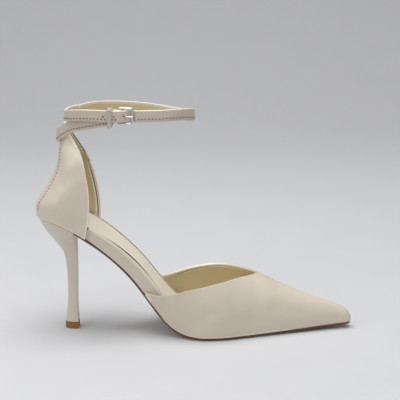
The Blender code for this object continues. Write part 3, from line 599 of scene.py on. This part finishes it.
@dataclass
class Upper:
    """The pointed vamp and the counter with its back seam."""

    roll: float = 0.00040
    throat: float = 0.0486
    topline_end: float = 0.065
    toe_room: float = 0.0060
    hollow_height: float = 0.4
    toe_low: float = 0.3
    seam_groove: float = 0.0004
    seam_half: float = 0.0012
    seam_facing: float = 0.3
    seam_steps: int = 30
    stand_off: float = 0.01

    def vamp(self) -> None:
        """Builds the front of the upper with rolled edges, a folded topline and a lining."""
        piece = node_copy("vamp", "vamp_leather")
        paint(piece, UPPER_LEATHER, LINING, FOLDED_AND_HIGHLIGHT, GROOVE)
        low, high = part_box("vamp")
        middle = self.hollow_height * (high.z - low.z)

        def hollow(point: Vector) -> Vector:
            """The middle of the toe room beside a point, lower towards the toe.

            Args:
                point: A point on the vamp.

            Returns:
                The place that its lining faces.
            """
            share = min(max((high.x - point.x) / (high.x - self.throat), 0.0), 1.0)
            x = min(point.x, high.x - self.toe_room)
            return Vector((x, 0, low.z + middle * (self.toe_low + (1 - self.toe_low) * share)))

        line_inside(piece, hollow)
        lining_line(piece, self.topline_end)
        rolled_edges(piece, self.roll, RIM_SHARP)
        light_rolls(piece, 2)
        rounded_off(piece, 2)
        for dent in VAMP_DENTS:
            dent.press(piece)
        log.info("vamp_leather: %d faces", len(piece.data.polygons))

    def counter(self) -> bpy.types.Object:
        """Builds the back of the upper with rolled edges, a folded topline, a lining and a seam groove.

        Returns:
            The finished counter.
        """
        piece = node_copy("counter", "counter_leather")
        paint(piece, UPPER_LEATHER, LINING, FOLDED_AND_HIGHLIGHT, GROOVE)
        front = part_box("counter")[1].x
        line_inside(piece, lambda p: Vector((front, 0, p.z)))
        lining_line(piece, CAD_HIGH[0])
        rolled_edges(piece, self.roll, RIM_SHARP)
        light_rolls(piece, 2)
        rounded_off(piece, 2)
        for vertex in piece.data.vertices:
            if vertex.normal.x < -self.seam_facing and abs(vertex.co.y) < self.seam_half:
                vertex.co -= vertex.normal * self.seam_groove * (1 - abs(vertex.co.y) / self.seam_half)
        for dent in COUNTER_DENTS:
            dent.press(piece)
        log.info("counter_leather: %d faces", len(piece.data.polygons))
        return piece

    def back_seam(self, counter: bpy.types.Object) -> None:
        """Sews a row of stitches down each side of the back seam.

        Args:
            counter: The counter that the rows lie on.
        """
        bpy.context.view_layer.update()
        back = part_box("counter")[0].x - self.stand_off
        low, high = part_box("top_piece")
        middle = (low.y + high.y) / 2
        for side in Side:
            line = []
            for (top, wide), (foot, wider) in zip(BACK_PANEL, BACK_PANEL[1:]):
                for k in range(self.seam_steps):
                    share = k / self.seam_steps
                    offset = wide + (wider - wide) * share
                    start = Vector((back, middle + side.value * offset, top + (foot - top) * share))
                    hit, place, normal, _ = counter.ray_cast(start, Vector((1, 0, 0)))
                    if hit:
                        line.append((place, normal))
            Stitch().row(f"back_seam_{side.name.lower()}", line)


@dataclass
class Footbed:
    """The sock, the board under it and the covered rims along the waist."""

    groove_middle: float = -0.046
    groove_reach: float = 0.017
    groove_width: float = 0.0034
    groove_ease: float = 0.0008
    side_from: float = 0.018
    inner_share: float = 0.4
    sock_roll: float = 0.0004
    board_roll: float = 0.0003
    wrap_roll: float = 0.00022
    sock_side: float = 0.85
    wrap_side: float = 0.9
    wrap_up: float = 0.2
    waist_start: float = -0.080
    waist_end: float = -0.014

    def sock(self) -> None:
        """Builds the sock, drawn in along the outer waist so that a groove shows, its sides painted dark as
        shade.
        """
        piece = node_copy("sock", "sock_leather_layer")
        paint(piece, SOCK_LEATHER, LINING, FOLDED_AND_HIGHLIGHT, GROOVE)
        rolled_edges(piece, self.sock_roll, SHARP)
        # Painted shade: the sock's side faces take the dark groove slot.
        for face in piece.data.polygons:
            if abs(face.normal.y) > self.sock_side:
                face.material_index = Skin.GROOVE.value
        rounded_off(piece, 2)
        for vertex in piece.data.vertices:
            x = vertex.co.x
            if not self.waist_start < x < self.waist_end:
                continue
            ease = sin(pi * (x - self.waist_start) / (self.waist_end - self.waist_start))
            away = (x - self.groove_middle) / self.groove_reach
            pull = self.groove_width * exp(-(away**2)) + self.groove_ease * ease
            share = min(abs(vertex.co.y) / self.side_from, 1.0) ** 3
            side = 1 if vertex.co.y > 0 else -1
            vertex.co.y -= side * pull * share * (1.0 if vertex.co.y < 0 else self.inner_share)
        log.info("sock_leather_layer: %d faces", len(piece.data.polygons))

    def wrap(self, side: Side) -> None:
        """Builds one covered rim, its upward faces given the fold's finish: partly lighter folded leather,
        partly painted highlight.

        Args:
            side: The side of the shoe that it runs along.
        """
        label = side.name.lower()
        piece = node_copy(f"waist_wrap_{label}", f"waist_leather_{label}")
        paint(piece, UPPER_LEATHER, LINING, FOLDED_AND_HIGHLIGHT, GROOVE)
        rolled_edges(piece, self.wrap_roll, SHARP)
        # Painted highlight: the faces that look up take the lighter fold slot.
        for face in piece.data.polygons:
            if abs(face.normal.y) < self.wrap_side and face.normal.z > self.wrap_up:
                face.material_index = Skin.FOLD.value
        rounded_off(piece, 2)
        log.info("%s: %d faces", piece.name, len(piece.data.polygons))

    def build(self) -> None:
        """Builds every layer of the footbed."""
        self.sock()
        simple("insole_board", "insole_board_layer", BOARD_SHADE, self.board_roll, levels=1)
        for side in Side:
            self.wrap(side)


@dataclass
class Bottom:
    """The outsole, the covered heel and its wearing piece."""

    sole_roll: float = 0.0002
    sole_sharp: float = 30.0
    heel_roll: float = 0.0005
    wearing_roll: float = 0.0003
    under_down: float = 0.3
    under_side: float = 0.6

    def outsole(self) -> None:
        """Builds the outsole, its side brown and its underside tan."""
        piece = node_copy("outsole", "outsole_leather")
        paint(piece, SOLE_EDGE, SOLE_FACE)
        rolled_edges(piece, self.sole_roll, self.sole_sharp)
        for face in piece.data.polygons:
            underneath = face.normal.z < -self.under_down and abs(face.normal.y) < self.under_side
            face.material_index = 1 if underneath else 0
        rounded_off(piece, 2)
        log.info("outsole_leather: %d faces", len(piece.data.polygons))

    def build(self) -> None:
        """Builds every piece under the foot."""
        self.outsole()
        simple("heel", "heel_cover", UPPER_LEATHER, self.heel_roll)
        simple("top_piece", "heel_wearing_piece", WEARING, self.wearing_roll)


@dataclass(frozen=True)
class Turn:
    """One place that the strap passes: shares of the ring's reach, half width and climb."""

    reach: float
    side: float
    lift: float


LOWER_PIECE = (
    Turn(0.344, -0.940, 0.850),
    Turn(0.265, -0.920, 0.770),
    Turn(0.185, -0.865, 0.690),
    Turn(0.108, -0.765, 0.605),
    Turn(0.045, -0.610, 0.500),
)
FAR_SIDE = (
    Turn(0.010, 0.640, 0.500),
    Turn(0.070, 0.830, 0.830),
    Turn(0.170, 0.955, 0.985),
    Turn(0.335, 1.005, 1.025),
    Turn(0.490, 1.013, 1.000),
    Turn(0.625, 0.985, 0.945),
    Turn(0.735, 0.915, 0.875),
    Turn(0.850, 0.740, 0.805),
    Turn(0.938, 0.480, 0.780),
    Turn(0.990, 0.200, 0.818),
    Turn(1.000, -0.010, 0.870),
    Turn(0.988, -0.215, 0.926),
    Turn(0.935, -0.500, 0.987),
    Turn(0.845, -0.755, 1.008),
    Turn(0.735, -0.895, 1.000),
    Turn(0.640, -0.945, 1.000),
)
TAIL = (
    Turn(0.345, -1.068, 1.010),
    Turn(0.262, -1.058, 1.035),
    Turn(0.180, -1.010, 1.040),
    Turn(0.115, -0.930, 1.030),
    Turn(0.058, -0.795, 0.995),
    Turn(0.018, -0.570, 0.945),
    Turn(0.001, -0.280, 0.905),
    Turn(0.000, 0.000, 0.890),
    Turn(0.012, 0.270, 0.895),
    Turn(0.042, 0.490, 0.915),
    Turn(0.078, 0.620, 0.935),
)
CROSSING = (
    Vector((-0.0975, -0.0096, 0.1554)),
    Vector((-0.1008, -0.0059, 0.1521)),
    Vector((-0.1021, -0.0005, 0.1500)),
    Vector((-0.1008, 0.0049, 0.1510)),
    Vector((-0.0975, 0.0085, 0.1535)),
)


def smooth_route(points: list[Vector], spacing: float) -> list[Vector]:
    """Points along a smooth curve through the given ones.

    Args:
        points: The places that the curve passes.
        spacing: The longest step between two points of the curve.

    Returns:
        The curve's points.
    """
    found = []
    for i in range(len(points) - 1):
        a, b = points[max(i - 1, 0)], points[i]
        c, d = points[i + 1], points[min(i + 2, len(points) - 1)]
        before = max((b - a).length, 1e-9) ** 0.5
        here = max((c - b).length, 1e-9) ** 0.5
        after = max((d - c).length, 1e-9) ** 0.5
        start = end = (c - b) / here
        if i > 0:
            start = (b - a) / before - (c - a) / (before + here) + (c - b) / here
        if i < len(points) - 2:
            end = (c - b) / here - (d - b) / (here + after) + (d - c) / after
        steps = max(int((c - b).length / spacing) + 1, 1)
        for k in range(steps):
            t = k / steps
            found.append(
                b * (2 * t**3 - 3 * t**2 + 1)
                + start * here * (t**3 - 2 * t**2 + t)
                + c * (-2 * t**3 + 3 * t**2)
                + end * here * (t**3 - t**2)
            )
    found.append(points[-1])
    return found


class StrapFace(Enum):
    """A point of the strap's outline, across it inwards and up it, in shares of its thickness and width."""

    OUTER_LOW = (-0.50, -0.445)
    OUTER_SOLE = (-0.52, -0.30)
    OUTER_MIDDLE = (-0.54, 0.0)
    OUTER_HIGH = (-0.52, 0.36)
    FOLD_OUT = (-0.46, 0.455)
    FOLD_TOP = (-0.24, 0.498)
    FOLD_IN = (0.16, 0.498)
    FACING_HIGH = (0.38, 0.470)
    FACING_LOW = (0.42, 0.350)
    GROOVE_HIGH = (0.40, 0.325)
    GROOVE = (0.16, 0.312)
    BEAD_HIGH = (0.36, 0.300)
    BEAD = (0.52, 0.280)
    LINING_MIDDLE = (0.50, -0.10)
    LINING_LOW = (0.50, -0.44)
    LINING_EDGE = (0.40, -0.49)
    SPLIT_IN = (0.08, -0.495)
    SPLIT = (0.02, -0.470)
    SPLIT_OUT = (-0.04, -0.495)
    EDGE = (-0.38, -0.495)


# The slot of each strip of the strap's outline, in the order of StrapFace: the fold strips partly lighter
# leather and partly painted highlight, the groove strip painted shade.
STRAP_SKINS = (
    *(Skin.OUTER,) * 4,
    *(Skin.FOLD,) * 5,
    Skin.GROOVE,
    *(Skin.FOLD,) * 2,
    *(Skin.LINING,) * 4,
    *(Skin.OUTER,) * 4,
)


@dataclass
class AnkleStrap:
    """The strap from its fold round the buckle's hinge bar, round the ankle, to its free tail."""

    width: float = 0.0086
    thickness: float = 0.0020
    ring_back: Vector = field(default_factory=lambda: Vector((-0.0954, -0.0005, 0.0)))
    ring_reach: float = 0.0944
    ring_half: float = 0.0225
    ring_height: float = 0.1685
    crossing_height: float = 0.1500
    buckle_reach: float = 0.421
    buckle_set_in: float = 0.0035
    bar: float = 0.0021
    bar_thickness: float = 0.0018
    frame_reach: float = 0.01165
    frame_turn: float = radians(23.3)
    fold: float = 0.0090
    fold_steps: int = 6
    fold_in: float = 0.25
    fold_out: float = 0.20
    over_start: float = 0.0020
    over_end: float = 0.0018
    ease: float = 0.0001
    slot_ease: float = 0.1
    gap: float = 0.0003
    prong: float = 0.0013
    hole_spacing: float = 0.0080
    hole_width: float = 0.0016
    hole_reach: float = 0.0060
    hole_out: float = 0.0008
    hole_spare: float = 0.0014
    prong_hole: float = 0.0040
    prong_hole_depth: float = 0.0042
    prong_hole_reach: float = 0.0062
    prong_hole_out: float = 0.0013
    stitch_height: float = 0.0022
    stitch_out: float = 0.53
    stitch_clear: float = 0.003
    sewn_end: int = 12
    bare_tip: int = 3
    spacing: float = 0.0012

    def at(self, turn: Turn) -> Vector:
        """The place of one turn of the ring.

        Args:
            turn: The turn, in shares of the ring's sizes.

        Returns:
            Its place.
        """
        climb = self.ring_height - self.crossing_height
        height = self.crossing_height + turn.lift * climb
        return self.ring_back + Vector((turn.reach * self.ring_reach, turn.side * self.ring_half, height))

    def hinge(self) -> Vector:
        """The middle of the buckle's hinge bar."""
        return self.at(Turn(self.buckle_reach, -1.0, 1.0)) + Vector((0, self.buckle_set_in, 0))

    def on_frame(self, along: float, outwards: float) -> Vector:
        """A point along the buckle from its hinge bar, and outwards from its plane.

        Args:
            along: Distance from the hinge bar towards the far bar.
            outwards: Distance from the buckle's plane, away from the ankle.

        Returns:
            The point.
        """
        run = Vector((cos(self.frame_turn), -sin(self.frame_turn), 0))
        out = Vector((-sin(self.frame_turn), -cos(self.frame_turn), 0))
        return self.hinge() + run * along + out * outwards

    def route(self) -> list[Vector]:
        """The strap's middle line from its sewn end to the tail's tip.

        Returns:
            The places that it passes.
        """
        bar = self.hinge()
        radius = self.bar / 2 + self.gap + self.thickness / 2
        points = [
            Vector((bar.x - self.fold, bar.y + radius, self.at(LOWER_PIECE[0]).z)),
            bar + Vector((-self.fold_in * self.fold, radius, 0)),
        ]
        for k in range(self.fold_steps + 1):
            angle = pi / 2 - pi * k / self.fold_steps
            points.append(bar + Vector((radius * cos(angle), radius * sin(angle), 0)))
        points.append(bar + Vector((-self.fold_out * self.fold, -radius, -self.ease)))
        points += [self.at(turn) for turn in LOWER_PIECE]
        points += CROSSING
        points += [self.at(turn) for turn in FAR_SIDE]
        under = -(self.bar_thickness / 2 + self.gap + self.thickness / 2)
        points.append(self.on_frame(self.frame_reach + self.bar, under - 2 * self.ease))
        points.append(self.on_frame(self.frame_reach - 0.5 * self.bar, under))
        over = radius + self.thickness + self.gap
        points.append(bar + Vector((self.over_start, -over + 2 * self.ease, 0)))
        points.append(bar + Vector((-self.over_end, -over - self.ease, 0)))
        points += [self.at(turn) for turn in TAIL]
        return points

    def frames(self) -> list[tuple[Vector, Vector, Vector]]:
        """The smooth route with its directions.

        Returns:
            Each point of it, its inward and its upward direction.
        """
        path = smooth_route(self.route(), self.spacing)
        found = []
        for i, point in enumerate(path):
            along = (path[min(i + 1, len(path) - 1)] - path[max(i - 1, 0)]).normalized()
            up = (Vector((0, 0, 1)) - along * along.z).normalized()
            found.append((point, along.cross(up), up))
        return found

    def leather(self) -> None:
        """Builds the strap from a grid that is laid along the route and closed to a band."""
        rings = self.frames()
        outline = [face.value for face in StrapFace]
        around = len(outline)
        bpy.ops.object.select_all(action="DESELECT")
        bpy.ops.mesh.primitive_grid_add(x_subdivisions=around, y_subdivisions=len(rings) - 1, size=1)
        piece = bpy.context.object
        piece.name = "ankle_strap_leather"
        piece.data.name = piece.name
        paint(piece, STRAP_LEATHER, LINING, FOLDED_AND_HIGHLIGHT, GROOVE)
        for k, vertex in enumerate(piece.data.vertices):
            point, inwards, up = rings[k // (around + 1)]
            across, rise = outline[k % (around + 1) % around]
            vertex.co = point + inwards * across * self.thickness + up * rise * self.width
        for k, face in enumerate(piece.data.polygons):
            face.material_index = STRAP_SKINS[k % around].value
        with editing(piece):
            bpy.ops.mesh.select_all(action="SELECT")
            bpy.ops.mesh.remove_doubles(threshold=MERGE)
            bpy.ops.mesh.fill_holes(sides=0)
            bpy.ops.mesh.select_all(action="SELECT")
            bpy.ops.mesh.normals_make_consistent(inside=False)
        self.punch(piece)
        only(piece)
        bpy.ops.object.shade_smooth_by_angle(angle=SMOOTH_BELOW)
        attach(piece, "root")
        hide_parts("ankle_strap")
        log.info("ankle_strap_leather: %d faces", len(piece.data.polygons))

    def punch(self, piece: bpy.types.Object) -> None:
        """Punches the prong's hole, the two spare holes and the slot round the hinge bar.

        Args:
            piece: The strap.
        """
        bar = self.hinge()
        radius = self.bar / 2 + self.gap + self.thickness / 2
        over = radius + self.thickness + self.gap
        reach = radius + self.thickness / 2 + 0.5 * self.gap
        block = Vector((self.prong_hole, self.prong_hole_depth, self.prong + 2 * self.gap))
        self.cut(piece, self.on_frame(self.prong_hole_reach, self.prong_hole_out), block, -self.frame_turn)
        for k in (1, 2):
            x = self.on_frame(self.hole_reach, 0).x - k * self.hole_spacing
            place = Vector((x, bar.y - over - self.hole_out, bar.z))
            bpy.ops.mesh.primitive_cylinder_add(
                vertices=20, radius=self.hole_width / 2, depth=self.thickness + self.hole_spare,
                location=place, rotation=(pi / 2, 0, 0),
            )
            self.subtract(piece, bpy.context.object)
        slot = Vector(((2 + 2 * self.slot_ease) * reach, 2 * reach, self.prong + 4 * self.gap))
        self.cut(piece, bar + Vector((self.slot_ease * reach, 0, 0)), slot, 0.0)

    def cut(self, piece: bpy.types.Object, place: Vector, size: Vector, turn: float) -> None:
        """Cuts a block out of the strap.

        Args:
            piece: The strap.
            place: The block's middle.
            size: Its size along, through and up the strap.
            turn: Its turn about the vertical.
        """
        bpy.ops.mesh.primitive_cube_add(size=1, location=place, rotation=(0, 0, turn))
        bpy.context.object.scale = size
        self.subtract(piece, bpy.context.object)

    def subtract(self, piece: bpy.types.Object, tool: bpy.types.Object) -> None:
        """Cuts a tool's shape out of the strap and removes the tool.

        Args:
            piece: The strap.
            tool: The closed shape that is cut out.
        """
        apply(piece, "BOOLEAN", operation="DIFFERENCE", object=tool)
        bpy.data.objects.remove(tool)

    def stitches(self) -> None:
        """Sews a row along the lower edge of the strap's outer face for each stretch that shows."""
        rings = self.frames()
        line = []
        for point, inwards, up in rings:
            place = point - inwards * self.stitch_out * self.thickness
            place += up * (self.stitch_height - self.width / 2)
            line.append((place, -inwards))
        bar = self.hinge()
        near = bar.x - self.stitch_clear
        far = bar.x + self.frame_reach + self.stitch_clear
        start = next(i for i, (p, _) in enumerate(line) if i > self.sewn_end and p.x < near)
        turn = next(i for i, (p, _) in enumerate(line) if i > len(line) // 2 and p.x < far)
        again = next(i for i, (p, _) in enumerate(line) if i > turn and p.x < bar.x + self.over_start)
        Stitch().row("strap_stitches_ring", line[start:turn])
        Stitch().row("strap_stitches_tail", line[again : -self.bare_tip])


@dataclass
class Buckle:
    """The nickel frame and prong, and the keeper."""

    keeper_roll: float = 0.00015

    def build(self) -> None:
        """Builds the fastening's pieces."""
        simple("buckle_frame", "buckle_frame_nickel", NICKEL, 0.0)
        simple("buckle_prong", "buckle_prong_nickel", NICKEL, 0.0)
        simple("keeper", "keeper_loop", KEEPER_LEATHER, self.keeper_roll)


@dataclass(frozen=True)
class Lamp:
    """A soft square light: its name, its place, its side and its power in watts."""

    name: str
    place: tuple[float, float, float]
    size: float
    power: float


LAMPS = (
    Lamp("overhead", (-0.10, 0.00, 1.15), 0.9, 11.5),
    Lamp("left_soft_box", (-1.1, -0.9, 0.9), 0.7, 4.2),
    Lamp("front_fill", (0.6, -1.6, 0.5), 1.0, 2.4),
)
# Height, as the ramp reads it, and colour of the surroundings there.
SURROUNDINGS = ((0.0, (0.20, 0.20, 0.21, 1)), (0.75, (0.95, 0.95, 0.96, 1)))


@dataclass
class Studio:
    """Pale floor and backdrop, soft lights and the camera."""

    eye: Vector
    aim: Vector
    lens: float = 105.84
    sensor: float = 36.0
    bend: float = 0.8
    strength: float = 0.58
    floor_reach: float = 3.0
    backdrop: float = 1.6

    def camera(self) -> None:
        """Sets the camera at the photograph's angle."""
        bpy.ops.object.camera_add(location=self.eye)
        camera = bpy.context.object
        camera.data.lens = self.lens
        camera.data.sensor_width = self.sensor
        camera.rotation_mode = "QUATERNION"
        camera.rotation_quaternion = (self.aim - self.eye).to_track_quat("-Z", "Y")
        bpy.context.scene.camera = camera

    def floor(self) -> None:
        """Builds the floor, which turns up into a backdrop."""
        bpy.ops.mesh.primitive_plane_add(size=2 * self.floor_reach)
        floor = bpy.context.object
        floor.name = "studio_floor"
        with editing(floor) as mesh:
            bpy.ops.mesh.select_mode(type="EDGE")
            mesh.edges.ensure_lookup_table()
            for edge in mesh.edges:
                edge.select_set(all(v.co.y > 0 for v in edge.verts))
            bmesh.update_edit_mesh(floor.data)
            bpy.ops.mesh.extrude_region_move(TRANSFORM_OT_translate={"value": (0, 0, self.floor_reach)})
        floor.location.y = self.backdrop - self.floor_reach
        paint(floor, PAPER)
        apply(floor, "BEVEL", width=self.bend, segments=12)
        only(floor)
        bpy.ops.object.shade_smooth()

    def hang(self, lamp: Lamp) -> None:
        """Adds one light that looks at the shoe.

        Args:
            lamp: The light's description.
        """
        bpy.ops.object.light_add(type="AREA", location=lamp.place)
        light = bpy.context.object
        light.name = lamp.name
        light.data.size = lamp.size
        light.data.energy = lamp.power
        light.rotation_mode = "QUATERNION"
        light.rotation_quaternion = (self.aim - Vector(lamp.place)).to_track_quat("-Z", "Y")

    def lights(self) -> None:
        """Adds the three soft lights and the surroundings, dark below and pale above."""
        for lamp in LAMPS:
            self.hang(lamp)
        world = bpy.data.worlds.new("pale_room")
        bpy.context.scene.world = world
        bpy.context.scene.view_settings.view_transform = "Standard"
        world.use_nodes = True
        tree = world.node_tree
        place = tree.nodes.new("ShaderNodeTexCoord")
        parts = tree.nodes.new("ShaderNodeSeparateXYZ")
        tree.links.new(place.outputs["Generated"], parts.inputs["Vector"])
        shades = tree.nodes.new("ShaderNodeValToRGB")
        for stop, (height, colour) in zip(shades.color_ramp.elements, SURROUNDINGS):
            stop.position = height
            stop.color = colour
        tree.links.new(parts.outputs["Z"], shades.inputs["Fac"])
        background = tree.nodes["Background"]
        tree.links.new(shades.outputs["Color"], background.inputs["Color"])
        background.inputs["Strength"].default_value = self.strength


def main() -> None:
    """Builds the shoe's pieces and the studio in order."""
    logging.basicConfig(level=logging.INFO, format="%(message)s")
    upper = Upper()
    upper.vamp()
    upper.back_seam(upper.counter())
    Footbed().build()
    Bottom().build()
    strap = AnkleStrap()
    strap.leather()
    strap.stitches()
    Buckle().build()
    studio = Studio(eye=Vector((0.0040, -0.86630, 0.30711)), aim=Vector((0.0040, -0.00053, 0.10086)))
    studio.camera()
    studio.floor()
    studio.lights()


if __name__ == "__main__":
    main()
